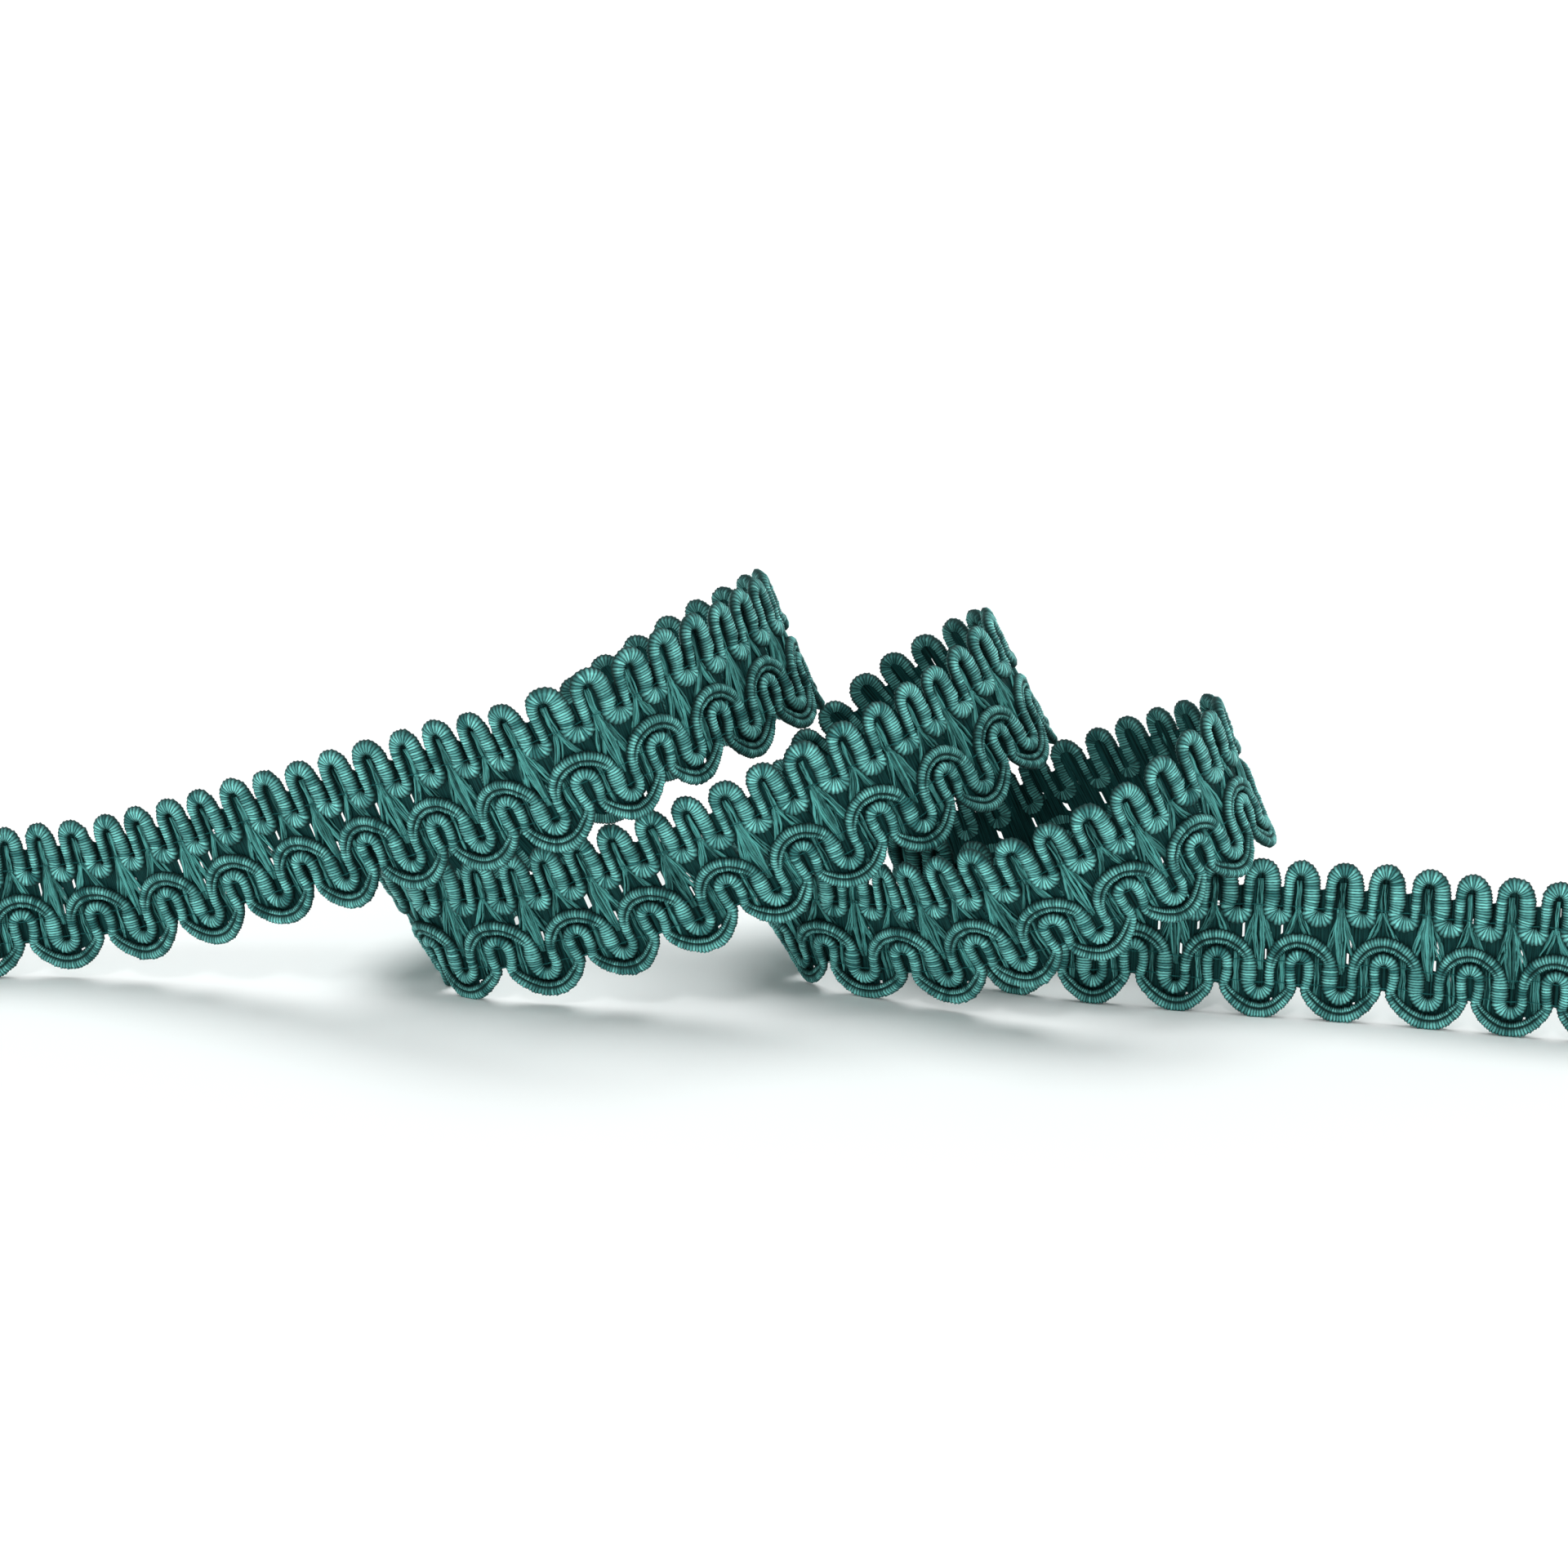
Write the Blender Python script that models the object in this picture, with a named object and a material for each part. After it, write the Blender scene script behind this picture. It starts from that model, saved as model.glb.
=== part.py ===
"""A cut length of scroll gimp, the braided trim that covers tacks on upholstery.

It is one ribbon that stands on its lower edge in three loose curls, each leaning to the left over
the one before. The ribbon follows a smooth curve through hand placed rows, and its section has a
raised upper band of small loops, a groove of floss and a raised lower band of wide scrolls. The
scalloped edges and the outline of the scrolls are in the points. Sizes are in millimetres here and
in metres in the model. The curl stands on z = 0 with the middle of its box at the origin.
"""
import math

import bpy
import numpy as np

MM = 0.001

# The braid laid flat: u runs along it, v runs across it from the top edge down.
TAPE_WIDTH = 15.0
REPEAT = 7.8
LOOP_PITCH = REPEAT / 2
STATIONS_PER_REPEAT = 12
FIRST_ARCH = 0.1

# Depth of the scalloped edges and of the outline of the lower scrolls.
LOOP_RADIUS = LOOP_PITCH / 2
LOOP_NOTCH = 1.25
SCALLOP_NOTCH = 2.1
UPPER_BAND_END = 5.9
GROOVE_FLOOR = 6.5
ARCH_TOP = 7.1
ARCH_DROP = 2.0

# Height of the face over the middle of the braid, and depth of the back.
EDGE_HEIGHT = 0.45
CORD_HEIGHT = 0.75
FLOSS_HEIGHT = 0.30
BACK_DEPTH = 0.45

# A low edge closer to the floor than this is trimmed flat onto it.
FLOOR_TRIM = 0.25

# Moves the middle of the finished box to x = 0, y = 0.
SHIFT_X = 1.721
SHIFT_Y = 1.860

SAMPLES_PER_ROW = 16

# Columns: x, y, z of the middle of the ribbon, lean to the left and lean to the back in degrees.
ROUTE = [
    # left end and the first rise to the front
    (-83.3, -1.8, 7.5, 8, 0),
    (-79.0, -0.8, 7.5, 9, -1),
    (-72.5, -0.8, 8.1, 11, -2),
    (-64.8, -2.4, 9.7, 12, -2),
    (-56.9, -4.8, 12.1, 12, -2),
    (-48.4, -7.8, 15.2, 13, -3),
    (-40.1, -11.0, 18.5, 14, -3),
    (-32.1, -14.2, 21.3, 15, -3),
    (-24.6, -17.2, 23.9, 17, -5),
    (-18.4, -19.6, 26.7, 20, -8),
    # first turn at the right, the highest one
    (-12.9, -17.0, 29.0, 23, -10),
    (-8.3, -13.3, 30.8, 24, -13),
    (-4.2, -7.8, 31.9, 24, -12),
    (-1.3, -3.2, 32.7, 24, -6),
    (0.9, 1.2, 33.2, 24, -2),
    (0.5, 7.5, 32.6, 24, 0),
    (-2.9, 13.0, 30.3, 24, 0),
    # down behind to the floor
    (-8.4, 16.5, 26.6, 24, 0),
    (-14.5, 18.0, 22.6, 26, 0),
    (-20.9, 18.0, 18.2, 29, 0),
    (-27.3, 16.0, 12.7, 31, 0),
    (-32.3, 12.0, 8.3, 32, 2),
    (-36.0, 5.5, 6.2, 32, 2),
    (-37.0, -2.0, 6.3, 31, 2),
    (-35.2, -6.3, 6.8, 30, 1),
    (-31.8, -8.3, 7.2, 29, -1),
    # second pass along the front
    (-26.9, -9.6, 7.8, 28, -4),
    (-21.7, -10.8, 9.0, 27, -6),
    (-16.2, -12.2, 11.0, 26, -6),
    (-10.0, -13.8, 13.5, 25, -5),
    (-4.3, -14.6, 16.1, 25, -6),
    (3.1, -14.7, 19.8, 25, -6),
    (9.8, -13.6, 22.8, 26, -3),
    # second turn at the right
    (15.3, -9.5, 25.4, 27, -3),
    (19.8, -4.6, 27.7, 28, -2),
    (23.3, 0.5, 29.7, 28, 0),
    (23.3, 7.8, 29.0, 28, 0),
    (20.4, 13.0, 27.0, 28, 0),
    # down behind to the floor again
    (15.6, 16.2, 23.4, 28, 0),
    (10.1, 17.5, 18.9, 28, 0),
    (5.5, 16.6, 14.4, 30, 0),
    (1.9, 13.0, 10.4, 31, 0),
    (-1.2, 7.0, 7.7, 31, 1),
    (-2.3, -0.5, 7.2, 30, 0),
    (-0.6, -4.3, 7.4, 29, -6),
    # third pass along the front
    (3.1, -6.9, 7.4, 27, -8),
    (7.4, -8.6, 7.2, 25, -6),
    (11.6, -10.7, 7.3, 23, -4),
    (16.4, -13.7, 9.0, 21, -5),
    (22.1, -17.2, 11.7, 20, -8),
    (26.9, -18.8, 14.0, 21, -10),
    (31.8, -19.0, 16.6, 22, -10),
    # third turn at the right, over the tail
    (36.3, -17.4, 19.3, 23, -6),
    (40.2, -14.2, 21.7, 24, -3),
    (43.1, -9.8, 22.8, 24, 0),
    (44.3, -4.8, 22.6, 24, 0),
    (41.6, -0.4, 20.9, 22, 0),
    # down behind and round on the floor
    (37.7, 4.2, 18.7, 20, 0),
    (32.8, 8.2, 15.7, 18, 0),
    (26.8, 10.8, 12.3, 18, 0),
    (21.0, 11.2, 10.0, 18, 0),
    (15.7, 9.4, 8.3, 18, 0),
    (12.0, 5.2, 7.2, 15, 0),
    (12.0, 1.0, 7.4, 12, 0),
    (15.6, -2.3, 7.4, 8, 0),
    (20.6, -5.0, 7.5, 5, 0),
    # tail along the floor to the right end
    (26.7, -7.8, 7.5, 3, 0),
    (34.2, -9.4, 7.5, 2, 3),
    (40.2, -10.4, 7.4, 1, 7),
    (46.2, -11.7, 7.4, 0, 8),
    (52.1, -13.0, 7.4, 0, 7),
    (57.9, -14.6, 7.4, 0, 5),
    (63.7, -16.6, 7.5, 0, 3),
    (69.3, -18.6, 7.5, 0, 0),
    (74.9, -20.2, 7.5, 0, 0),
    (80.3, -21.8, 7.5, 0, 0),
]


def smooth_route():
    """Sample a uniform cubic B-spline that starts and ends on the first and last rows."""
    rows = np.array(ROUTE, float)
    rows = np.vstack([2 * rows[0] - rows[1], rows, 2 * rows[-1] - rows[-2]])
    samples = []
    for first in range(len(rows) - 3):
        for step in range(SAMPLES_PER_ROW):
            t = step / SAMPLES_PER_ROW
            weights = np.array([
                (1 - t) ** 3,
                3 * t ** 3 - 6 * t ** 2 + 4,
                -3 * t ** 3 + 3 * t ** 2 + 3 * t + 1,
                t ** 3,
            ]) / 6
            samples.append(weights @ rows[first:first + 4])
    samples.append(np.array([1, 4, 1]) @ rows[-3:] / 6)
    return np.array(samples)


def even_stations():
    """Return u, centres, leans in radians at equal steps along the ribbon."""
    samples = smooth_route()
    steps = np.linalg.norm(np.diff(samples[:, :3], axis=0), axis=1)
    length = np.concatenate([[0], np.cumsum(steps)])
    spacing = REPEAT / STATIONS_PER_REPEAT
    u = np.arange(int(length[-1] / spacing) + 1) * spacing
    columns = [np.interp(u, length, samples[:, k]) for k in range(5)]
    centres = np.stack(columns[:3], axis=1)
    centres += (SHIFT_X, SHIFT_Y, 0)
    leans = np.radians(np.stack(columns[3:], axis=1))
    return u, centres, leans


def ribbon_frames(centres, leans):
    """Return the across direction and the outward direction at every station."""
    along = np.gradient(centres, axis=0)
    along /= np.linalg.norm(along, axis=1)[:, None]
    left, back = leans[:, 0], leans[:, 1]
    across = np.stack([-np.sin(left) * np.cos(back), np.sin(back), np.cos(left) * np.cos(back)], axis=1)
    across -= np.sum(across * along, axis=1)[:, None] * along
    across /= np.linalg.norm(across, axis=1)[:, None]
    return across, np.cross(along, across)


def distance_to_repeat(u, pitch):
    """Distance along the ribbon from u to the nearest arch or loop of this pitch."""
    return abs((u - FIRST_ARCH + pitch / 2) % pitch - pitch / 2)


def round_rise(distance, half_width, depth):
    """Depth of a rounded scallop at this distance from its crest."""
    part = min(distance / half_width, 1)
    return depth * (1 - math.sqrt(1 - part * part))


def section(u):
    """Outline of the ribbon across its width, as (v, height) pairs."""
    loop = distance_to_repeat(u, LOOP_PITCH)
    arch = distance_to_repeat(u, REPEAT)
    top = min(round_rise(loop, LOOP_RADIUS, LOOP_RADIUS), LOOP_NOTCH)
    bottom = TAPE_WIDTH - round_rise(REPEAT / 2 - arch, REPEAT / 2, SCALLOP_NOTCH)
    scroll = ARCH_TOP + round_rise(arch, REPEAT / 2, ARCH_DROP)
    return [
        (top, EDGE_HEIGHT),
        (UPPER_BAND_END, CORD_HEIGHT),
        (GROOVE_FLOOR, FLOSS_HEIGHT),
        (scroll, CORD_HEIGHT),
        (bottom, EDGE_HEIGHT),
        (bottom, -BACK_DEPTH),
        (top, -BACK_DEPTH),
    ]


def place(centre, across, outward, v, height):
    """Put one point of the section in space, trimmed onto the floor within its own plane."""
    point = centre + across * (TAPE_WIDTH / 2 - v) + outward * height
    if point[2] < FLOOR_TRIM:
        point = point - across * (point[2] / across[2])
    return point * MM


def ribbon_mesh(name):
    """Build the closed ribbon from one ring of points at every station."""
    u, centres, leans = even_stations()
    across, outward = ribbon_frames(centres, leans)
    vertices = []
    for k in range(len(u)):
        for v, height in section(u[k]):
            vertices.append(place(centres[k], across[k], outward[k], v, height))
    ring = len(section(0))
    faces = [tuple(reversed(range(ring)))]
    for k in range(len(u) - 1):
        start = k * ring
        for side in range(ring):
            following = (side + 1) % ring
            faces.append((start + side, start + following, start + ring + following, start + ring + side))
    last = (len(u) - 1) * ring
    faces.append(tuple(last + side for side in range(ring)))
    mesh = bpy.data.meshes.new(name)
    mesh.from_pydata([tuple(point) for point in vertices], [], faces)
    mesh.validate()
    mesh.update()
    return mesh


def braid_material():
    """Silky teal cord."""
    material = bpy.data.materials.new("teal_rayon_cord")
    material.use_nodes = True
    shader = material.node_tree.nodes["Principled BSDF"]
    shader.inputs["Base Color"].default_value = (0.045, 0.225, 0.195, 1)
    shader.inputs["Roughness"].default_value = 0.55
    shader.inputs["Metallic"].default_value = 0
    return material


def main():
    for old in list(bpy.data.objects):
        bpy.data.objects.remove(old, do_unlink=True)
    mesh = ribbon_mesh("gimp_tape")
    mesh.materials.append(braid_material())
    ribbon = bpy.data.objects.new("gimp_tape", mesh)
    bpy.context.scene.collection.objects.link(ribbon)


main()
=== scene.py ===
import math
import bpy
import numpy as np
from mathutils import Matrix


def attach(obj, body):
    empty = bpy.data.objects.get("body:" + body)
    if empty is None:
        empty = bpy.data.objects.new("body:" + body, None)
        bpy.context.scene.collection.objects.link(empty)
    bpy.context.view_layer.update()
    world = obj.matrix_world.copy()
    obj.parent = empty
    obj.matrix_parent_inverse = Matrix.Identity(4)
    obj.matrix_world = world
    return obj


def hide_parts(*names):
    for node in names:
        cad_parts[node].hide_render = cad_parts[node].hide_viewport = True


# %% [markdown]
# Scroll gimp is the narrow braid that hides tacks and raw cloth edges on upholstered furniture.
# The CAD frame holds one plain ribbon, curled three times and standing on its lower edge. This
# script dresses it: two rows of wrapped cord, the floss that ties them, and the binding threads.
# Every piece is drawn on the flat braid first and then carried onto the curl, because the pattern
# is regular only when the braid lies flat.

# %% load the frame
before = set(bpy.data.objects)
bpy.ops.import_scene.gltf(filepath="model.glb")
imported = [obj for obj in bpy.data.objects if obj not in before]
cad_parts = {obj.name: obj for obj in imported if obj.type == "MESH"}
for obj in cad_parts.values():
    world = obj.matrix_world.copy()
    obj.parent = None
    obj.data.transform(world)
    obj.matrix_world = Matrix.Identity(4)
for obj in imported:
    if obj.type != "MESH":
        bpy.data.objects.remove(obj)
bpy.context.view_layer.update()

# %% [markdown]
# The sizes of the braid and the rows of its curl are the same as in the CAD source, so the cords
# sit where the solid is. The rows were first marked over the photograph, each with a judged depth
# and lean, then turned into millimetres through the camera, and many were moved after that.
# Along the braid is u, across it from the top edge down is v, and height is how far a point stands
# out from the middle of the ribbon. All are in millimetres.

# %% sizes and the route of the curl
MM = 0.001
TAPE_WIDTH = 15.0
REPEAT = 7.8
LOOP_PITCH = REPEAT / 2
LENGTH_STEP = REPEAT / 12
FIRST_ARCH = 0.1
SHIFT_X = 1.721
SHIFT_Y = 1.860
SAMPLES_PER_ROW = 16
ROUTE_STEP = REPEAT / 24

# Columns: x, y, z of the middle of the ribbon, lean to the left and lean to the back in degrees.
ROUTE = [
    # left end and the first rise to the front
    (-83.3, -1.8, 7.5, 8, 0),
    (-79.0, -0.8, 7.5, 9, -1),
    (-72.5, -0.8, 8.1, 11, -2),
    (-64.8, -2.4, 9.7, 12, -2),
    (-56.9, -4.8, 12.1, 12, -2),
    (-48.4, -7.8, 15.2, 13, -3),
    (-40.1, -11.0, 18.5, 14, -3),
    (-32.1, -14.2, 21.3, 15, -3),
    (-24.6, -17.2, 23.9, 17, -5),
    (-18.4, -19.6, 26.7, 20, -8),
    # first turn at the right, the highest one
    (-12.9, -17.0, 29.0, 23, -10),
    (-8.3, -13.3, 30.8, 24, -13),
    (-4.2, -7.8, 31.9, 24, -12),
    (-1.3, -3.2, 32.7, 24, -6),
    (0.9, 1.2, 33.2, 24, -2),
    (0.5, 7.5, 32.6, 24, 0),
    (-2.9, 13.0, 30.3, 24, 0),
    # down behind to the floor
    (-8.4, 16.5, 26.6, 24, 0),
    (-14.5, 18.0, 22.6, 26, 0),
    (-20.9, 18.0, 18.2, 29, 0),
    (-27.3, 16.0, 12.7, 31, 0),
    (-32.3, 12.0, 8.3, 32, 2),
    (-36.0, 5.5, 6.2, 32, 2),
    (-37.0, -2.0, 6.3, 31, 2),
    (-35.2, -6.3, 6.8, 30, 1),
    (-31.8, -8.3, 7.2, 29, -1),
    # second pass along the front
    (-26.9, -9.6, 7.8, 28, -4),
    (-21.7, -10.8, 9.0, 27, -6),
    (-16.2, -12.2, 11.0, 26, -6),
    (-10.0, -13.8, 13.5, 25, -5),
    (-4.3, -14.6, 16.1, 25, -6),
    (3.1, -14.7, 19.8, 25, -6),
    (9.8, -13.6, 22.8, 26, -3),
    # second turn at the right
    (15.3, -9.5, 25.4, 27, -3),
    (19.8, -4.6, 27.7, 28, -2),
    (23.3, 0.5, 29.7, 28, 0),
    (23.3, 7.8, 29.0, 28, 0),
    (20.4, 13.0, 27.0, 28, 0),
    # down behind to the floor again
    (15.6, 16.2, 23.4, 28, 0),
    (10.1, 17.5, 18.9, 28, 0),
    (5.5, 16.6, 14.4, 30, 0),
    (1.9, 13.0, 10.4, 31, 0),
    (-1.2, 7.0, 7.7, 31, 1),
    (-2.3, -0.5, 7.2, 30, 0),
    (-0.6, -4.3, 7.4, 29, -6),
    # third pass along the front
    (3.1, -6.9, 7.4, 27, -8),
    (7.4, -8.6, 7.2, 25, -6),
    (11.6, -10.7, 7.3, 23, -4),
    (16.4, -13.7, 9.0, 21, -5),
    (22.1, -17.2, 11.7, 20, -8),
    (26.9, -18.8, 14.0, 21, -10),
    (31.8, -19.0, 16.6, 22, -10),
    # third turn at the right, over the tail
    (36.3, -17.4, 19.3, 23, -6),
    (40.2, -14.2, 21.7, 24, -3),
    (43.1, -9.8, 22.8, 24, 0),
    (44.3, -4.8, 22.6, 24, 0),
    (41.6, -0.4, 20.9, 22, 0),
    # down behind and round on the floor
    (37.7, 4.2, 18.7, 20, 0),
    (32.8, 8.2, 15.7, 18, 0),
    (26.8, 10.8, 12.3, 18, 0),
    (21.0, 11.2, 10.0, 18, 0),
    (15.7, 9.4, 8.3, 18, 0),
    (12.0, 5.2, 7.2, 15, 0),
    (12.0, 1.0, 7.4, 12, 0),
    (15.6, -2.3, 7.4, 8, 0),
    (20.6, -5.0, 7.5, 5, 0),
    # tail along the floor to the right end
    (26.7, -7.8, 7.5, 3, 0),
    (34.2, -9.4, 7.5, 2, 3),
    (40.2, -10.4, 7.4, 1, 7),
    (46.2, -11.7, 7.4, 0, 8),
    (52.1, -13.0, 7.4, 0, 7),
    (57.9, -14.6, 7.4, 0, 5),
    (63.7, -16.6, 7.5, 0, 3),
    (69.3, -18.6, 7.5, 0, 0),
    (74.9, -20.2, 7.5, 0, 0),
    (80.3, -21.8, 7.5, 0, 0),
]

# %% [markdown]
# The rows are joined by a uniform cubic B-spline, which bends evenly as a springy braid does. At
# each station the ribbon has three directions: along it, across it towards its top edge, and out
# of its decorated face. Points of the flat braid are carried over with these. The photograph's
# loops and scallops reach a little past those of a braid of the nominal width, so the pattern is
# widened by a small share while it is carried over.

# %% carry the flat braid onto the curl
RELAXED_WIDTH = 1.035


def smooth_route():
    """Closely spaced samples of the route: place and both leans."""
    rows = np.array(ROUTE, float)
    rows = np.vstack([2 * rows[0] - rows[1], rows, 2 * rows[-1] - rows[-2]])
    samples = []
    for first in range(len(rows) - 3):
        for step in range(SAMPLES_PER_ROW):
            t = step / SAMPLES_PER_ROW
            weights = np.array([
                (1 - t) ** 3,
                3 * t ** 3 - 6 * t ** 2 + 4,
                -3 * t ** 3 + 3 * t ** 2 + 3 * t + 1,
                t ** 3,
            ]) / 6
            samples.append(weights @ rows[first:first + 4])
    samples.append(np.array([1, 4, 1]) @ rows[-3:] / 6)
    return np.array(samples)


def unit(vectors):
    return vectors / np.linalg.norm(vectors, axis=1)[:, None]


class Curl:
    """The curled ribbon, looked up by distance along it."""

    def __init__(self):
        samples = smooth_route()
        steps = np.linalg.norm(np.diff(samples[:, :3], axis=0), axis=1)
        distance = np.concatenate([[0], np.cumsum(steps)])
        self.u = np.arange(int(distance[-1] / ROUTE_STEP) + 1) * ROUTE_STEP
        columns = [np.interp(self.u, distance, samples[:, k]) for k in range(5)]
        centres = np.stack(columns[:3], axis=1) + (SHIFT_X, SHIFT_Y, 0)
        left, back = np.radians(columns[3]), np.radians(columns[4])
        along = unit(np.gradient(centres, axis=0))
        across = np.stack([-np.sin(left) * np.cos(back), np.sin(back), np.cos(left) * np.cos(back)], axis=1)
        across = unit(across - np.sum(across * along, axis=1)[:, None] * along)
        self.table = np.hstack([centres, along, across, np.cross(along, across)])
        self.length = LENGTH_STEP * int(distance[-1] / LENGTH_STEP)

    def place(self, flat):
        """Points (u, v, height) of the flat braid in millimetres, as points of the curl in metres."""
        flat = np.asarray(flat, float)
        inside = np.clip(flat[:, 0], 0, self.length)
        found = np.stack([np.interp(inside, self.u, self.table[:, k]) for k in range(12)], axis=1)
        centre, along, across, outward = found[:, :3], found[:, 3:6], found[:, 6:9], found[:, 9:]
        points = centre + along * (flat[:, :1] - inside[:, None])
        points += across * (TAPE_WIDTH / 2 - flat[:, 1:2]) * RELAXED_WIDTH + outward * flat[:, 2:3]
        points[:, 2] = np.maximum(points[:, 2], 0)
        return points * MM


curl = Curl()
print("braid length in mm", round(curl.length, 1))

# %% [markdown]
# Hand made braid is never quite even: its loops sit a little high or low and near or far. Slow
# waves of unrelated lengths move the flat pattern by up to a fifth of a millimetre, the same for
# every piece, so that the cords, floss and threads stay together.

# %% uneven hand of the braid
# Columns: size of a wave, its length over two pi, and its phase.
WAVES_ALONG = [(0.10, 2.9, 1.0), (0.08, 1.37, 0.4)]
WAVES_ACROSS = [(0.09, 3.7, 2.0), (0.07, 1.9, 5.0)]


def uneven(flat):
    """The points of the flat pattern, moved by the slow waves."""
    moved = flat.copy()
    for column, waves in enumerate((WAVES_ALONG, WAVES_ACROSS)):
        moved[:, column] += sum(size * np.sin(flat[:, 0] / reach + phase) for size, reach, phase in waves)
    return moved


print("largest move along in mm", round(sum(wave[0] for wave in WAVES_ALONG), 2))

# %% [markdown]
# A wrapped cord is soft yarn covered by a fine thread wound round it, turn against turn. Its mesh
# is one ring of points on each turn and one in the valley after it. The arches and scallops of the
# scroll cords are two plies side by side with a crease between them, and their straight legs are
# pulled flat and plain by the binding. Each row of a table is a place on one flat repeat.

# %% tables of the cords
# Columns: along, across, half width, height of the cord's middle, depth of the crease.
LOOP_CORD = [
    (-1.40, 4.40, 0.46, 0.06, 0),
    (-1.34, 3.60, 0.53, 0.12, 0),
    (-1.30, 2.70, 0.55, 0.15, 0),
    (-1.26, 2.00, 0.57, 0.17, 0),
    (-1.08, 1.36, 0.63, 0.18, 0),
    (-0.70, 0.90, 0.71, 0.18, 0),
    (-0.18, 0.74, 0.75, 0.18, 0),
    (0.36, 0.88, 0.77, 0.18, 0),
    (0.74, 1.32, 0.78, 0.18, 0),
    (0.88, 1.90, 0.81, 0.18, 0),
    (0.93, 2.70, 0.84, 0.17, 0),
    (0.95, 3.50, 0.86, 0.15, 0),
    (0.86, 4.10, 0.78, 0.02, 0),
    (0.80, 4.52, 0.80, 0.03, 0),
    (1.02, 4.98, 0.86, 0.13, 0),
    (1.44, 5.20, 0.90, 0.18, 0),
    (1.86, 5.22, 0.88, 0.18, 0),
    (2.24, 5.10, 0.78, 0.16, 0),
    (2.46, 4.80, 0.60, 0.10, 0),
]
ARCH_CORD = [
    (-2.85, 11.25, 0.54, 0.08, 0),
    (-2.90, 10.60, 0.52, 0.10, 0),
    (-2.86, 9.95, 0.54, 0.12, 0.1),
    (-2.72, 9.25, 0.58, 0.14, 0.5),
    (-2.42, 8.60, 0.66, 0.16, 0.9),
    (-1.80, 7.88, 0.70, 0.17, 1),
    (-0.96, 7.43, 0.72, 0.17, 1),
    (0.00, 7.28, 0.73, 0.17, 1),
    (0.97, 7.45, 0.72, 0.16, 1),
    (1.84, 7.92, 0.70, 0.14, 1),
    (2.40, 8.42, 0.67, 0.10, 0.8),
    (2.76, 8.95, 0.62, 0.00, 0.4),
    (2.88, 9.40, 0.70, 0.00, 0),
    (2.92, 9.85, 0.84, 0.10, 0),
    (2.93, 10.55, 0.86, 0.14, 0),
    (2.92, 11.20, 0.82, 0.06, 0),
    (2.98, 11.60, 0.72, 0.02, 0),
    (3.26, 12.05, 0.70, 0.10, 0),
    (3.64, 12.28, 0.70, 0.14, 0),
    (4.05, 12.32, 0.68, 0.14, 0),
    (4.46, 12.16, 0.62, 0.12, 0),
    (4.80, 11.80, 0.56, 0.10, 0),
]
SCALLOP_CORD = [
    (-0.62, 11.50, 0.54, 0.04, 0),
    (-0.74, 10.70, 0.54, 0.07, 0),
    (-0.80, 9.80, 0.56, 0.10, 0),
    (-0.76, 9.22, 0.58, 0.12, 0),
    (-0.46, 8.80, 0.59, 0.13, 0),
    (0.04, 8.64, 0.60, 0.14, 0),
    (0.54, 8.80, 0.60, 0.14, 0),
    (0.88, 9.20, 0.59, 0.13, 0),
    (0.98, 9.80, 0.58, 0.12, 0),
    (0.96, 10.50, 0.56, 0.11, 0),
    (0.82, 11.15, 0.53, 0.04, 0),
    (0.74, 11.58, 0.53, 0.01, 0.2),
    (0.92, 12.10, 0.57, 0.04, 0.8),
    (1.48, 12.74, 0.66, 0.10, 1),
    (2.24, 13.34, 0.72, 0.14, 1),
    (3.10, 13.76, 0.76, 0.16, 1),
    (4.00, 13.89, 0.77, 0.16, 1),
    (4.90, 13.74, 0.76, 0.15, 1),
    (5.70, 13.32, 0.71, 0.13, 1),
    (6.40, 12.72, 0.65, 0.09, 0.9),
    (6.96, 12.08, 0.57, 0.05, 0.5),
]

# The tables were measured on a braid 14.7 mm wide, so they are stretched to the full width.
ACROSS_STRETCH = 1.02

# Sections of a cord as shares of its half width and half thickness, with a third column of painted
# light: painted shade at the sides and in the crease, the full painted highlight on the crown, and
# most of that highlight at the back.
LOOP_SECTION = [
    (-1.00, -0.05, 0.00), (-0.82, 0.58, 0.55), (-0.37, 0.95, 1.00), (0.37, 0.95, 1.00),
    (0.82, 0.58, 0.55), (1.00, -0.05, 0.00), (0.55, -0.90, 0.80), (-0.55, -0.90, 0.80),
]
PLAIN_SECTION = [
    (-1.00, -0.05, 0.00), (-0.89, 0.48, 0.45), (-0.60, 0.82, 0.88), (-0.22, 0.98, 1.00), (0.16, 0.98, 1.00),
    (0.54, 0.84, 0.90), (0.87, 0.50, 0.48), (1.00, -0.05, 0.00), (0.55, -0.90, 0.80), (-0.55, -0.90, 0.80),
]
CREASED_SECTION = [
    (-1.00, -0.05, 0.00), (-0.87, 0.55, 0.58), (-0.59, 0.80, 1.00), (-0.26, 0.30, 0.00), (0.02, 0.84, 0.82),
    (0.44, 0.98, 1.00), (0.86, 0.62, 0.58), (1.00, -0.05, 0.00), (0.55, -0.90, 0.80), (-0.55, -0.90, 0.80),
]
WRAP_PITCH = 0.26
VALLEY_SCALE = 0.87
WRAP_UNEVEN = 0.12
THICKNESS_UNEVEN = 0.04
TURNS_PER_UNIT = 100
print("rows in the cord tables", len(LOOP_CORD), len(ARCH_CORD), len(SCALLOP_CORD))

# %% [markdown]
# A cord repeats its table all along the braid. The rows of one repeat are joined by a curve that
# passes through them, and rings are set along it at the spacing of the wrapping thread, each a
# little out of place, because thread that is wound by hand doesn't lie quite evenly.


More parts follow.
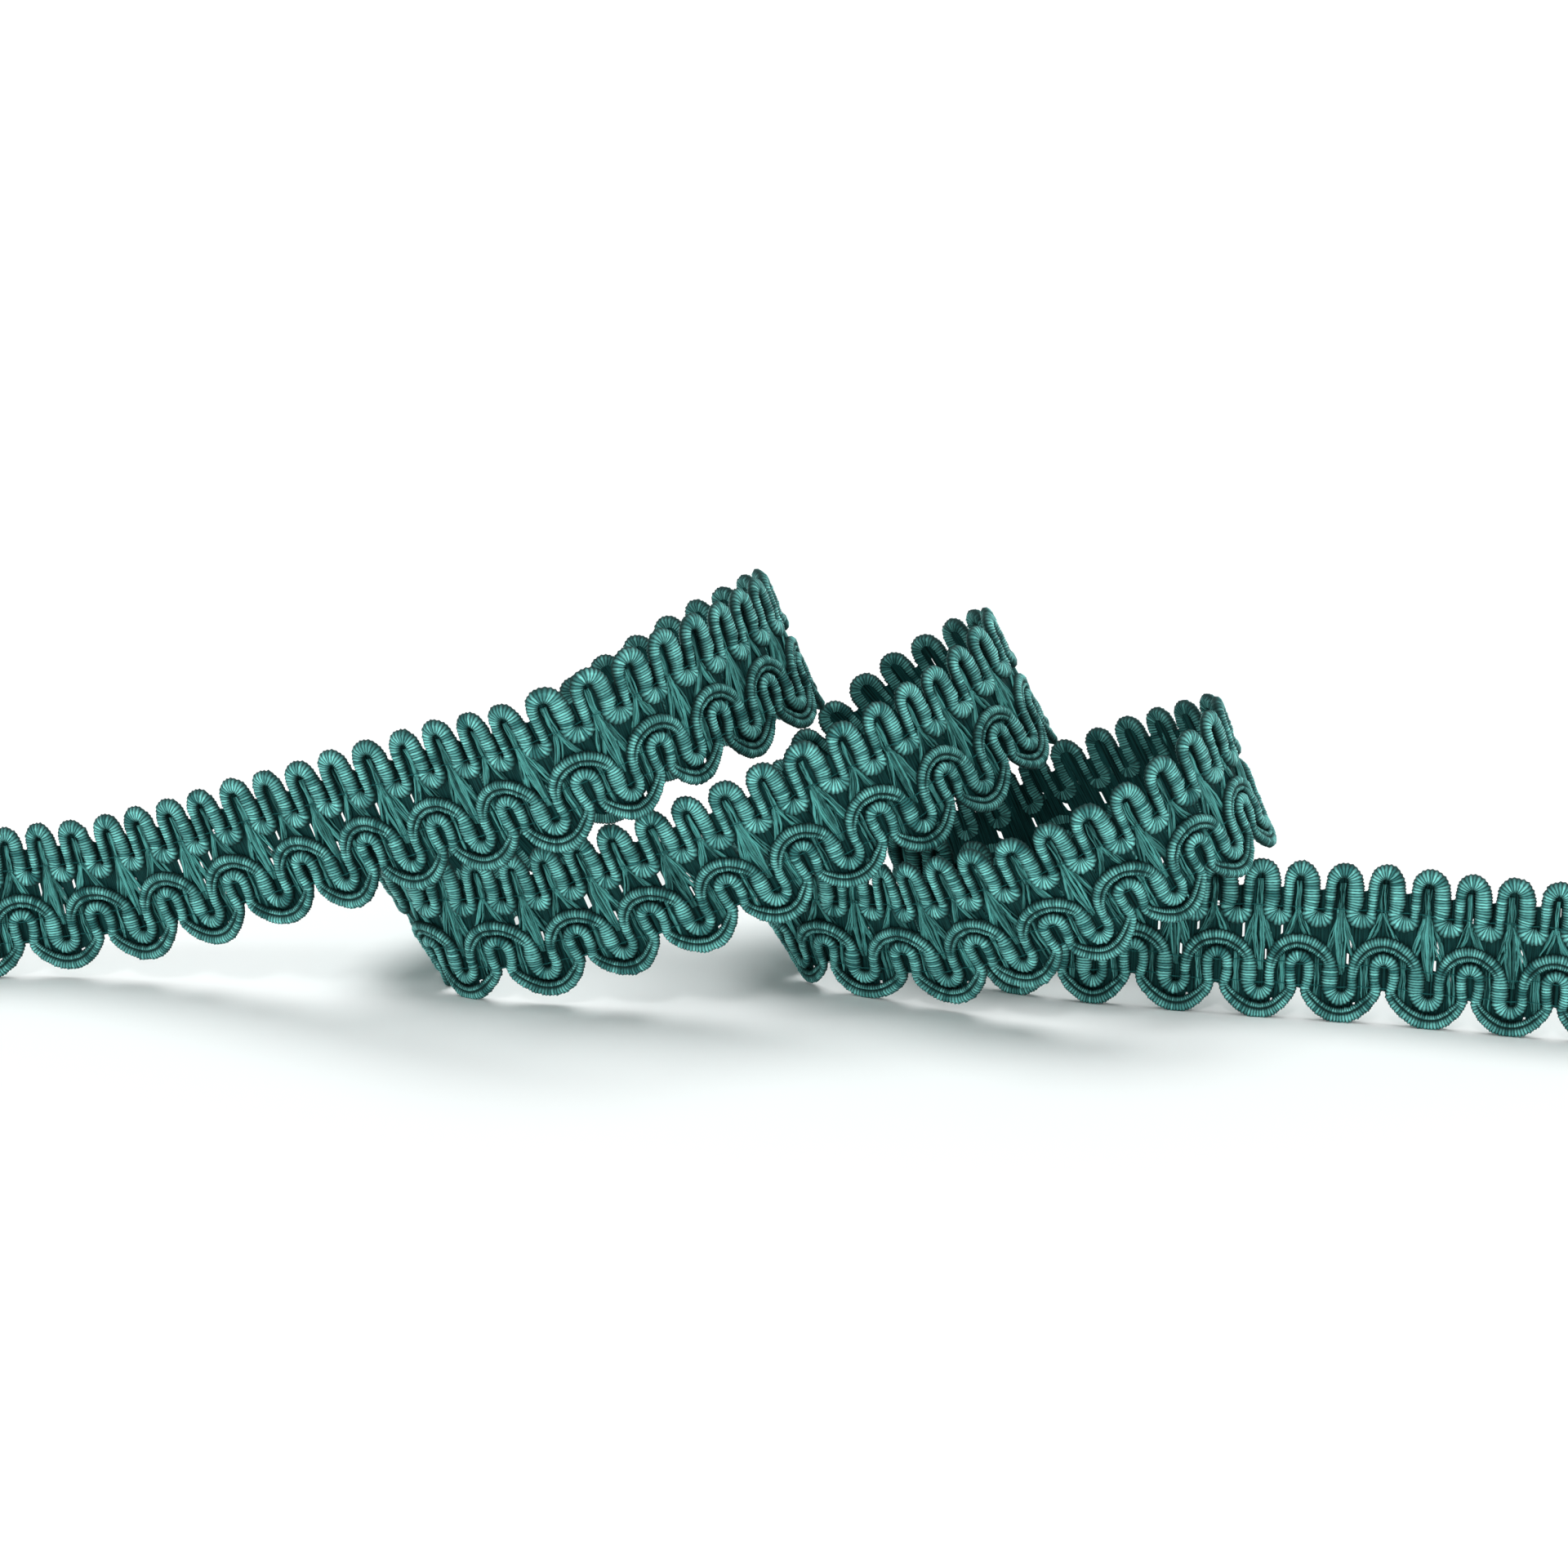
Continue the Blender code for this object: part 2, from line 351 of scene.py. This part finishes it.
# %% follow a repeating table of rows
def through_rows(rows, pitch, steps=14):
    """Catmull-Rom curve through one repeat of the rows, with its length so far as first column."""
    rows = np.array(rows, float)
    shift = np.array([pitch, 0, 0, 0, 0])
    ring = np.vstack([rows[-1] - shift, rows, rows[0] + shift, rows[1] + shift])
    points = []
    for k in range(1, len(ring) - 2):
        p0, p1, p2, p3 = ring[k - 1:k + 3]
        for t in np.arange(steps) / steps:
            points.append(0.5 * (
                2 * p1
                + (p2 - p0) * t
                + (2 * p0 - 5 * p1 + 4 * p2 - p3) * t ** 2
                + (3 * p1 - p0 - 3 * p2 + p3) * t ** 3
            ))
    points.append(ring[-2])
    points = np.array(points)
    points[:, 1] *= ACROSS_STRETCH
    step = np.linalg.norm(np.diff(points[:, :2], axis=0), axis=1)
    return np.column_stack([np.concatenate([[0], np.cumsum(step)]), points])


def cord_line(rows, pitch, spacing, seed):
    """Rings of a whole cord: flat place, half width, height and crease, at nearly even spacing."""
    repeat = through_rows(rows, pitch)
    around = repeat[-1, 0]
    count = int(curl.length / pitch) + 3
    random = np.random.default_rng(seed)
    distance = np.arange(0, count * around, spacing)
    distance = distance + random.uniform(-WRAP_UNEVEN, WRAP_UNEVEN, len(distance)) * spacing
    which = np.floor(distance / around)
    local = distance - which * around
    line = np.stack([np.interp(local, repeat[:, 0], repeat[:, k]) for k in range(1, 6)], axis=1)
    line[:, 0] += FIRST_ARCH + (which - 1) * pitch
    keep = (line[:, 0] > 0) & (line[:, 0] < curl.length)
    first, last = np.argmax(keep), len(keep) - np.argmax(keep[::-1])
    return line[first:last]


# %% [markdown]
# The rings of a cord become one closed tube. Each point keeps two things for its finish: its share of
# painted light, as an attribute, which paints shade at the sides and in the crease and a highlight on
# the crown, and which turn of the thread it is on, as the first UV coordinate. The left and right
# plies aren't alike, so the scallops, which hang the other way up, take the arches' sections with the sides
# changed over.


# %% meshes of the cords
def mesh_object(name, points, faces, values=None, uv=None):
    """A piece from points and faces, with one number a point for each named attribute."""
    mesh = bpy.data.meshes.new(name)
    mesh.from_pydata([tuple(p) for p in points], [], [tuple(f) for f in faces])
    mesh.update()
    for key, numbers in (values or {}).items():
        layer = mesh.attributes.new(key, "FLOAT", "POINT")
        layer.data.foreach_set("value", np.asarray(numbers, np.float32))
    if uv is not None:
        layer = mesh.uv_layers.new(name="flat")
        corners = np.empty(len(mesh.loops), np.int32)
        mesh.loops.foreach_get("vertex_index", corners)
        layer.data.foreach_set("uv", np.asarray(uv, np.float32)[corners].ravel())
    mesh.polygons.foreach_set("use_smooth", [True] * len(mesh.polygons))
    piece = bpy.data.objects.new(name, mesh)
    bpy.context.scene.collection.objects.link(piece)
    return piece


def tube_faces(rings, sides):
    """Side faces and two end caps of a tube whose rings follow each other."""
    ring, side = np.meshgrid(np.arange(rings - 1), np.arange(sides), indexing="ij")
    ring, side = ring.ravel() * sides, side.ravel()
    following = (side + 1) % sides
    walls = np.stack([ring + side, ring + following, ring + sides + following, ring + sides + side], axis=1)
    caps = [list(range(sides))[::-1], [(rings - 1) * sides + k for k in range(sides)]]
    return [list(w) for w in walls.tolist()] + caps


def mirrored(section):
    """The same section with its left and right sides changed over, in the same turning sense."""
    turned = [(-across, height, painted_light) for across, height, painted_light in section]
    return turned[-3::-1] + turned[:-3:-1]


def wrapped_cord(name, rows, pitch, sections, half_thickness, seed):
    """A cord with a ring on each turn of its thread and one in the valley after it."""
    line = cord_line(rows, pitch, WRAP_PITCH / 2, seed)
    place = uneven(line[:, [0, 1, 3]])
    tangent = np.gradient(place[:, :2], axis=0)
    tangent /= np.maximum(np.linalg.norm(tangent, axis=1), 1e-9)[:, None]
    sideways = np.stack([tangent[:, 1], -tangent[:, 0]], axis=1)
    random = np.random.default_rng(seed + 1)
    number = np.arange(len(line))
    turn = number // 2
    scale = np.where(number % 2 == 0, 1.0, VALLEY_SCALE)
    scale = scale * (1 + THICKNESS_UNEVEN * random.standard_normal(turn[-1] + 1)[turn])
    plain, creased = np.array(sections[0]), np.array(sections[1])
    crease = np.clip(line[:, 4], 0, 1)[:, None, None]
    section = plain[None] * (1 - crease) + creased[None] * crease
    rings, sides = section.shape[:2]
    across = (line[:, 2] * scale)[:, None] * section[:, :, 0]
    height = (half_thickness * scale)[:, None] * section[:, :, 1] + place[:, 2:3]
    flat = np.empty((rings, sides, 3))
    flat[:, :, 0] = place[:, 0:1] + across * sideways[:, 0:1]
    flat[:, :, 1] = place[:, 1:2] + across * sideways[:, 1:2]
    flat[:, :, 2] = height
    points = curl.place(flat.reshape(-1, 3))
    round_cord = np.tile(np.arange(sides) / sides, rings)
    uv = np.stack([np.repeat(number / 2, sides) / TURNS_PER_UNIT, round_cord], axis=1)
    # painted light of each point: painted shade at the sides and in the crease, painted highlight on the
    # crown
    painted_light = section[:, :, 2].ravel()
    return mesh_object(name, points, tube_faces(rings, sides), {"painted_light": painted_light}, uv)


loop_cord = wrapped_cord(
    "loop_cord", LOOP_CORD, LOOP_PITCH, (LOOP_SECTION, LOOP_SECTION), half_thickness=0.56, seed=11)
arch_cord = wrapped_cord(
    "arch_cord", ARCH_CORD, REPEAT, (PLAIN_SECTION, CREASED_SECTION), half_thickness=0.56, seed=21)
scallop_sections = (mirrored(PLAIN_SECTION), mirrored(CREASED_SECTION))
scallop_cord = wrapped_cord(
    "scallop_cord", SCALLOP_CORD, REPEAT, scallop_sections, half_thickness=0.54, seed=31)
for cord in (loop_cord, arch_cord, scallop_cord):
    print(cord.name, "triangles", 2 * len(cord.data.polygons))

# %% [markdown]
# Behind the cords runs the floss, flat yarn that goes up and down between the two rows and holds
# them to each other. It is the ground of the braid, a thin sheet with a ripple for each end of
# yarn, and it stops short of the notches of both edges. Small slits are left where the yarn parts.

# %% ground of floss
GROUND_TOP = 1.80
GROUND_TOP_WAVE = 0.85
GROUND_TOP_SHIFT = 0.18
GROUND_ROWS = 28
GROUND_HEIGHT = -0.22
RIPPLE = 0.07
COLUMNS_PER_REPEAT = 40
UV_SCALE = 10

# Lower edge of the ground over half a repeat: distance from an arch's middle, v.
GROUND_HEM = [(0.0, 11.6), (0.5, 11.7), (0.9, 12.1), (1.4, 12.7), (2.2, 13.4), (3.1, 13.8), (3.9, 13.95)]

# Slits on one repeat. Columns: along, across, half width, half height, share that are open.
SLITS = [
    (2.30, 6.70, 0.11, 0.65, 0.70),
    (-1.75, 6.45, 0.10, 0.35, 0.50),
    (-3.15, 7.30, 0.10, 0.55, 0.60),
    (4.35, 8.80, 0.10, 0.45, 0.70),
    (5.20, 12.95, 0.14, 0.14, 0.50),
    (-1.75, 9.90, 0.10, 0.30, 0.35),
    (1.72, 11.70, 0.10, 0.25, 0.30),
    (-0.12, 3.10, 0.10, 0.40, 0.35),
    (3.78, 3.10, 0.10, 0.40, 0.35),
    (3.72, 4.55, 0.10, 0.45, 0.55),
    (-0.16, 4.45, 0.10, 0.40, 0.55),
]


def in_slit(from_arch, high, chances):
    """True where a slit that is open on this repeat takes the place of the floss."""
    for (along, across, wide, tall, share_open), chance in zip(SLITS, chances):
        offset = (from_arch - along + REPEAT / 2) % REPEAT - REPEAT / 2
        if chance <= share_open and abs(offset) < wide and abs(high - across * ACROSS_STRETCH) < tall:
            return True
    return False


def ground_sheet():
    """The sheet of floss as a grid of columns along the braid, with its slits left out."""
    columns = int(curl.length / REPEAT * COLUMNS_PER_REPEAT) + 1
    u = np.linspace(0, curl.length, columns)
    middle = (u - FIRST_ARCH + REPEAT / 2) % REPEAT - REPEAT / 2
    hem = np.interp(np.abs(middle), *np.array(GROUND_HEM).T) * ACROSS_STRETCH
    from_loop = (u - FIRST_ARCH + GROUND_TOP_SHIFT) / LOOP_PITCH
    top = GROUND_TOP - GROUND_TOP_WAVE * np.cos(2 * math.pi * from_loop)
    v = top[:, None] + (hem - top)[:, None] * np.linspace(0, 1, GROUND_ROWS)[None, :]
    random = np.random.default_rng(5)
    ripple = random.uniform(-RIPPLE, RIPPLE, columns)
    flat = np.empty((columns, GROUND_ROWS, 3))
    flat[:, :, 0] = u[:, None]
    flat[:, :, 1] = v
    flat[:, :, 2] = GROUND_HEIGHT + ripple[:, None]
    repeat_number = np.floor((u - FIRST_ARCH + REPEAT / 2) / REPEAT).astype(int)
    chances = random.uniform(0, 1, (repeat_number.max() + 1, len(SLITS)))
    faces = []
    for k in range(columns - 1):
        turn = repeat_number[k]
        from_arch = (u[k] + u[k + 1]) / 2 - FIRST_ARCH - turn * REPEAT
        for row in range(GROUND_ROWS - 1):
            if not in_slit(from_arch, (v[k, row] + v[k, row + 1]) / 2, chances[turn]):
                start = k * GROUND_ROWS + row
                faces.append((start, start + 1, start + GROUND_ROWS + 1, start + GROUND_ROWS))
    flat = flat.reshape(-1, 3)
    return mesh_object("floss_ground", curl.place(uneven(flat)), faces, None, flat[:, :2] / UV_SCALE)


floss_ground = ground_sheet()
print("floss_ground faces", len(floss_ground.data.polygons))

# %% [markdown]
# Over the ground lie the loose ends of floss that the photograph shows in the open band between
# the rows: they leave the small loops as a narrow bundle, fan out and gather again in the valleys
# of the scrolls. They are thin three sided strands, placed bundle by bundle from a table.

# %% bundles of floss
# Columns: strands, then along, across, spread and height at the top, the middle and the bottom.
BUNDLES = [
    (7, (3.57, 1.9, 0.25, 0.00), (3.57, 3.4, 0.30, -0.05), (3.60, 4.9, 0.30, 0.00)),
    (7, (-0.33, 1.9, 0.25, 0.00), (-0.33, 3.4, 0.30, -0.05), (-0.30, 4.9, 0.30, 0.00)),
    (14, (3.57, 4.2, 0.28, 0.00), (3.72, 6.9, 0.62, 0.18), (3.95, 10.2, 0.22, -0.10)),
    (8, (3.45, 4.6, 0.20, 0.00), (3.05, 6.6, 0.40, 0.06), (2.30, 9.0, 0.35, -0.14)),
    (8, (3.75, 4.6, 0.20, 0.00), (4.45, 6.8, 0.45, 0.06), (5.30, 9.0, 0.35, -0.14)),
    (8, (-0.40, 4.5, 0.20, 0.00), (-0.90, 6.1, 0.40, 0.00), (-1.90, 8.3, 0.40, -0.16)),
    (8, (-0.20, 4.5, 0.20, 0.00), (0.45, 6.1, 0.40, 0.00), (1.50, 8.2, 0.40, -0.16)),
    (7, (-1.80, 8.2, 0.35, -0.12), (-1.78, 10.2, 0.42, -0.04), (-1.55, 12.7, 0.35, -0.12)),
    (5, (1.70, 8.6, 0.20, -0.12), (1.74, 10.4, 0.26, -0.06), (1.70, 12.8, 0.30, -0.12)),
]
STRAND_POINTS = 7
STRAND_HALF_WIDTH = 0.10
STRAND_SECTION = [(-1, -0.04), (0, 0.07), (1, -0.04)]
STRAND_END_GAP = 0.1


def strand_line(stations, repeat, random):
    """Middle line of one strand, placed at random in its bundle."""
    pick = random.uniform(-1, 1)
    keys = []
    for along, across, spread, height in stations:
        keys.append((
            along + spread * (pick + random.uniform(-0.25, 0.25)),
            across * ACROSS_STRETCH,
            height + random.uniform(-0.07, 0.07) - 0.10 * pick * pick,
        ))
    share = np.linspace(0, 1, STRAND_POINTS)
    line = np.stack([np.interp(share, [0, 0.5, 1], [key[c] for key in keys]) for c in range(3)], axis=1)
    line[1:-1] = (line[:-2] + 2 * line[1:-1] + line[2:]) / 4
    crimp = 0.06 * np.sin(line[:, 1] * 2.4 + 6.3 * random.uniform())
    line[:, 0] += FIRST_ARCH + repeat * REPEAT + crimp
    return line


def strand_faces(start):
    """Sides and ends of a three sided strand whose first point has this number."""
    faces = []
    for k in range(STRAND_POINTS - 1):
        for side in range(3):
            a = start + 3 * k + side
            b = start + 3 * k + (side + 1) % 3
            faces.append((a, a + 3, b + 3, b))
    end = start + 3 * (STRAND_POINTS - 1)
    return faces + [(start, start + 1, start + 2), (end + 2, end + 1, end)]


def all_strands():
    """Every bundle of every repeat, as one mesh with a shade of its own for each strand."""
    random = np.random.default_rng(7)
    points, faces, tones = [], [], []
    for repeat in range(-1, int(curl.length / REPEAT) + 2):
        for count, *stations in BUNDLES:
            for _ in range(count):
                line = strand_line(stations, repeat, random)
                if line[:, 0].min() < STRAND_END_GAP or line[:, 0].max() > curl.length - STRAND_END_GAP:
                    continue
                half = STRAND_HALF_WIDTH * random.uniform(0.6, 1.3)
                ring = np.array([(half * side, 0, height) for side, height in STRAND_SECTION])
                faces += strand_faces(len(points) * STRAND_POINTS * 3)
                points.append((line[:, None, :] + ring[None, :, :]).reshape(-1, 3))
                tones.append(np.full(STRAND_POINTS * 3, random.uniform(0, 1)))
    flat = np.vstack(points)
    tone = {"tone": np.concatenate(tones)}
    return mesh_object("floss_strands", curl.place(uneven(flat)), faces, tone, flat[:, :2] / UV_SCALE)


floss_strands = all_strands()
print("floss_strands faces", len(floss_strands.data.polygons))

# %% [markdown]
# Three fine threads run the whole length and bind the cords down, which is what pinches the right
# hand leg of every loop and scroll. They show as thin lines across the gaps.

# %% binding threads
# Columns: across, height.
BINDINGS = [(4.25, 0.34), (9.30, 0.30), (11.25, 0.26)]
THREAD_HALF = 0.045
THREAD_WAVE = 0.10
THREAD_END_GAP = 0.2


def all_threads():
    """The threads as thin square tubes that rise and fall over the cords."""
    u = np.arange(THREAD_END_GAP, curl.length - THREAD_END_GAP, REPEAT / 16)
    points, faces = [], []
    for number, (across, height) in enumerate(BINDINGS):
        wave = THREAD_WAVE * np.sin(2 * math.pi * u / LOOP_PITCH + number)
        line = np.stack([u, np.full(len(u), across * ACROSS_STRETCH) + 0.4 * wave, height + wave], axis=1)
        ring = THREAD_HALF * np.array([(0, 0, 1), (0, 1, 0), (0, 0, -1), (0, -1, 0)])
        points.append((line[:, None, :] + ring[None, :, :]).reshape(-1, 3))
        start = number * len(u) * 4
        faces += [tuple(start + corner for corner in face) for face in tube_faces(len(u), 4)]
    flat = np.vstack(points)
    return mesh_object("binding_threads", curl.place(uneven(flat)), faces, None, flat[:, :2] / UV_SCALE)


binding_threads = all_threads()
print("binding_threads faces", len(binding_threads.data.polygons))

# %% [markdown]
# A finish is a tree of nodes, and one that changes over a surface needs a lot of arithmetic. That
# maths goes through a small class which wraps a socket, so that a mask reads like a formula. Any
# other node comes from one method that takes its type, its settings and what goes into it.


# %% shader helper
class Value:
    """A socket of a node tree that can be used in arithmetic."""

    def __init__(self, build, socket):
        self.build = build
        self.socket = socket

    def math(self, operation, other=0.0, swapped=False):
        pair = (other, self) if swapped else (self, other)
        return self.build.node("ShaderNodeMath", {"operation": operation}, {0: pair[0], 1: pair[1]})

    def clamped(self):
        return self.build.node("ShaderNodeClamp", None, {"Value": self})

    def __add__(self, other):
        return self.math("ADD", other)

    __radd__ = __add__

    def __mul__(self, other):
        return self.math("MULTIPLY", other)

    __rmul__ = __mul__

    def __sub__(self, other):
        return self.math("SUBTRACT", other)

    def __rsub__(self, other):
        return self.math("SUBTRACT", other, swapped=True)


class Look:
    """One material and the nodes that feed its shader."""

    def __init__(self, name, **constants):
        self.material = bpy.data.materials.new(name)
        self.material.use_nodes = True
        self.tree = self.material.node_tree
        self.shader = self.tree.nodes["Principled BSDF"]
        for key, number in constants.items():
            self.shader.inputs[key.replace("_", " ")].default_value = number

    def node(self, kind, settings=None, inputs=None, output=0):
        made = self.tree.nodes.new(kind)
        for key, setting in (settings or {}).items():
            setattr(made, key, setting)
        for key, given in (inputs or {}).items():
            if isinstance(given, Value):
                self.tree.links.new(given.socket, made.inputs[key])
            else:
                made.inputs[key].default_value = given
        return Value(self, made.outputs[output])

    def mix(self, factor, first, second):
        """A colour between two others. The colour sockets of the Mix node are 6, 7 and output 2."""
        given = {0: factor, 6: first, 7: second}
        return self.node("ShaderNodeMix", {"data_type": "RGBA"}, given, output=2)

    def stretched_uv(self, along, across):
        """The flat place on the piece, with its two directions scaled for a streaky noise."""
        given = {0: self.node("ShaderNodeUVMap", {"uv_map": "flat"}), 1: (along, across, 1.0)}
        return self.node("ShaderNodeVectorMath", {"operation": "MULTIPLY"}, given)

    def feed(self, socket, given):
        self.tree.links.new(given.socket, self.shader.inputs[socket])


# %% [markdown]
# Rayon is a smooth bright fibre. The shade in the valleys between the turns of the wrapping thread
# and at the sides of the cord is painted dark into the colour, and the crown and the ridge of each
# turn carry a painted highlight, so colour and roughness follow that painted light. Every turn has
# its own tint, and a slow noise changes it along the cord. The tinted specular keeps the shine green and
# not white.

# %% finish of the wrapped cords
# near-black painted shade, for the sides and wrap valleys of the cords and for the floss ground
PAINTED_SHADE = (0.001, 0.006, 0.007, 1)
TEAL = (0.026, 0.180, 0.178, 1)
LIGHT = (0.290, 0.900, 0.850, 1)
SHINE_TINT = (0.40, 1.00, 0.92, 1)
RAYON = {"Specular_IOR_Level": 0.75, "Specular_Tint": SHINE_TINT, "IOR": 1.5}


def cord_look():
    look = Look("wrapped_rayon", **RAYON)
    # the painted light of the sections: painted shade at the sides and in the crease, painted highlight on
    # the crown
    painted_light = look.node("ShaderNodeAttribute", {"attribute_name": "painted_light"}, output=2)
    flat = look.node("ShaderNodeUVMap", {"uv_map": "flat"})
    turns = look.node("ShaderNodeSeparateXYZ", None, {"Vector": flat}) * TURNS_PER_UNIT
    ridge = (turns.math("FRACT") - 0.5).math("ABSOLUTE") * 2.0
    tone = look.node("ShaderNodeTexWhiteNoise", {"noise_dimensions": "1D"}, {"W": turns.math("ROUND")})
    fine = look.stretched_uv(240.0, 9.0)
    broken = look.node("ShaderNodeTexNoise", None, {"Vector": fine, "Scale": 1.0, "Detail": 2.0})
    line = (ridge * 1.6 - 0.22 + (broken - 0.5) * 1.7).clamped()
    along = {"W": turns, "Scale": 0.13, "Detail": 2.0}
    slow = look.node("ShaderNodeTexNoise", {"noise_dimensions": "1D"}, along)
    shade = (0.9 * tone + 1.5 * (slow - 0.42)).clamped()
    # painted shade at the sides of the cord and in the valleys between turns, painted highlight on the
    # crown and ridges
    painted_mix = painted_light * painted_light * (0.16 + 0.84 * line)
    look.feed("Base Color", look.mix(painted_mix, PAINTED_SHADE, look.mix(shade, TEAL, LIGHT)))
    look.feed("Roughness", 0.85 - 0.50 * painted_mix)
    bump = look.node("ShaderNodeBump", None, {"Strength": 0.7, "Distance": 0.00006, "Height": line})
    look.feed("Normal", bump)
    return look.material


wrapped = cord_look()
for cord in (loop_cord, arch_cord, scallop_cord):
    cord.data.materials.append(wrapped)
print(wrapped.name, "nodes", len(wrapped.node_tree.nodes))

# %% [markdown]
# The floss lies in the shade between the cords, and that shade is painted into its ground, which is
# nearly black with fine streaks along the yarn. The loose strands over it are brighter, each with a
# tint of its own, because they are the same silky yarn and catch the light where they bulge. The binding
# thread is plain and matt.

# %% finish of the floss and the threads
DEEP = (0.012, 0.070, 0.068, 1)
STREAK = (0.014, 0.090, 0.088, 1)
FLOSS = (0.130, 0.500, 0.470, 1)
MATT = {"Specular_IOR_Level": 0.20, "Specular_Tint": SHINE_TINT, "IOR": 1.5}


def ground_look():
    look = Look("floss_ground", **MATT)
    fine = look.stretched_uv(60.0, 1.5)
    streak = look.node("ShaderNodeTexNoise", None, {"Vector": fine, "Scale": 1.0, "Detail": 4.0})
    # painted shade: the floss ground is nearly black for the shade between the cords, with fine streaks
    # along the yarn
    look.feed("Base Color", look.mix((streak * 3.0 - 1.1).clamped(), PAINTED_SHADE, STREAK))
    look.feed("Roughness", 0.75 - 0.2 * streak)
    bump = look.node("ShaderNodeBump", None, {"Strength": 0.6, "Distance": 0.0001, "Height": streak})
    look.feed("Normal", bump)
    return look.material


def strand_look():
    look = Look("floss_strand", **RAYON)
    tone = look.node("ShaderNodeAttribute", {"attribute_name": "tone"}, output=2)
    flat = look.node("ShaderNodeUVMap", {"uv_map": "flat"})
    slow = look.node("ShaderNodeTexNoise", None, {"Vector": flat, "Scale": 9.0, "Detail": 2.0})
    look.feed("Base Color", look.mix((1.1 * tone + 0.9 * slow - 0.55).clamped(), DEEP, FLOSS))
    look.feed("Roughness", 0.55 - 0.15 * tone)
    return look.material


def thread_look():
    look = Look("binding_thread", **MATT)
    flat = look.node("ShaderNodeUVMap", {"uv_map": "flat"})
    slow = look.node("ShaderNodeTexNoise", None, {"Vector": flat, "Scale": 12.0, "Detail": 2.0})
    look.feed("Base Color", look.mix(slow, DEEP, TEAL))
    look.feed("Roughness", 0.7 - 0.1 * slow)
    return look.material


floss_ground.data.materials.append(ground_look())
floss_strands.data.materials.append(strand_look())
binding_threads.data.materials.append(thread_look())
print("finishes", [material.name for material in bpy.data.materials])

# %% [markdown]
# Every piece belongs to the one body and stands for the plain ribbon. The ground is the sheet of
# cloth, cut as long as the braid, and the cords and threads go with it.

on_the_ground = [loop_cord, arch_cord, scallop_cord, floss_strands, binding_threads]
for piece in [floss_ground] + on_the_ground:
    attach(piece, "root")
    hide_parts("gimp_tape")
print("pieces", [piece.name for piece in [floss_ground] + on_the_ground])

# %% [markdown]
# The braid stands on a plain pale surface. A floor that ends in sight would show a dark edge, so a
# low white wall stands far off all round, and from any side the picture fades into white.

# %% floor and wall
STAGE_COLOUR = (0.895, 0.925, 0.920, 1)
FLOOR_SIZE = 9
WALL_RADIUS = 4
WALL_HEIGHT = 1.1


def dress_stage(name, glow):
    stage = bpy.context.active_object
    stage.name = name
    bpy.ops.object.transform_apply(location=True, rotation=True, scale=True)
    look = Look(name, Base_Color=STAGE_COLOUR, Roughness=0.9, Specular_IOR_Level=0.1,
                Emission_Color=(1, 1, 1, 1), Emission_Strength=glow)
    stage.data.materials.append(look.material)
    print(name, "glow", glow)


bpy.ops.mesh.primitive_plane_add(size=FLOOR_SIZE, location=(0, 0, 0))
dress_stage("floor", 0.02)
bpy.ops.mesh.primitive_cylinder_add(
    vertices=64,
    radius=WALL_RADIUS,
    depth=WALL_HEIGHT,
    end_fill_type="NOTHING",
    location=(0, 0, WALL_HEIGHT / 2),
)
dress_stage("backdrop", 0.65)

# %% [markdown]
# Light from a large soft source leaves a short pale shadow. Sun lamps give the same light over the
# whole floor, which a lamp close by would not, and a wide angle makes their shadows soft. The key
# comes from above and a little behind, and a weaker one from the front brings up the silk. Together
# with the white world they bring the bare floor just to white, so that no shadow is washed out.


# %% light
def sun_light(name, come_from, strength, spread):
    """A sun lamp that shines from a direction (east, north, up), as wide as its spread in degrees."""
    data = bpy.data.lights.new(name, "SUN")
    data.energy = strength
    data.angle = math.radians(spread)
    light = bpy.data.objects.new(name, data)
    bpy.context.scene.collection.objects.link(light)
    east, north, up = come_from
    tilt = math.atan2(math.hypot(east, north), up)
    light.rotation_euler = (tilt, 0, math.atan2(north, east) + math.pi / 2)
    print(name, "tilt in degrees", round(math.degrees(tilt), 1))


def white_world(strength):
    world = bpy.data.worlds.new("studio")
    bpy.context.scene.world = world
    world.use_nodes = True
    back = world.node_tree.nodes["Background"]
    back.inputs["Color"].default_value = (1, 1, 1, 1)
    back.inputs["Strength"].default_value = strength


white_world(0.30)
sun_light("key", (0.05, 0.20, 1.0), 2.08, 46)
sun_light("front", (-0.25, -0.80, 1.0), 0.50, 12)

# %% [markdown]
# The camera stands close in front and looks a little down. Its distance, tilt and focal length
# were judged, and the rows of the curl were placed to suit them.

# %% camera
CAMERA_DISTANCE = 0.260
CAMERA_TILT = math.radians(14)
TARGET = (SHIFT_X * MM, SHIFT_Y * MM, 0.0196)
FOCAL_PIXELS = 3250
FRAME_PIXELS = 1920

data = bpy.data.cameras.new("camera")
data.sensor_width = 36
data.sensor_fit = "HORIZONTAL"
data.lens = data.sensor_width * FOCAL_PIXELS / FRAME_PIXELS
data.clip_start = 0.01
data.clip_end = 20
camera = bpy.data.objects.new("camera", data)
bpy.context.scene.collection.objects.link(camera)
camera.location = (
    TARGET[0],
    TARGET[1] - CAMERA_DISTANCE * math.cos(CAMERA_TILT),
    TARGET[2] + CAMERA_DISTANCE * math.sin(CAMERA_TILT),
)
camera.rotation_euler = (math.pi / 2 - CAMERA_TILT, 0, 0)
bpy.context.scene.camera = camera
bpy.context.scene.view_settings.view_transform = "Standard"
print("lens in mm", round(data.lens, 1))
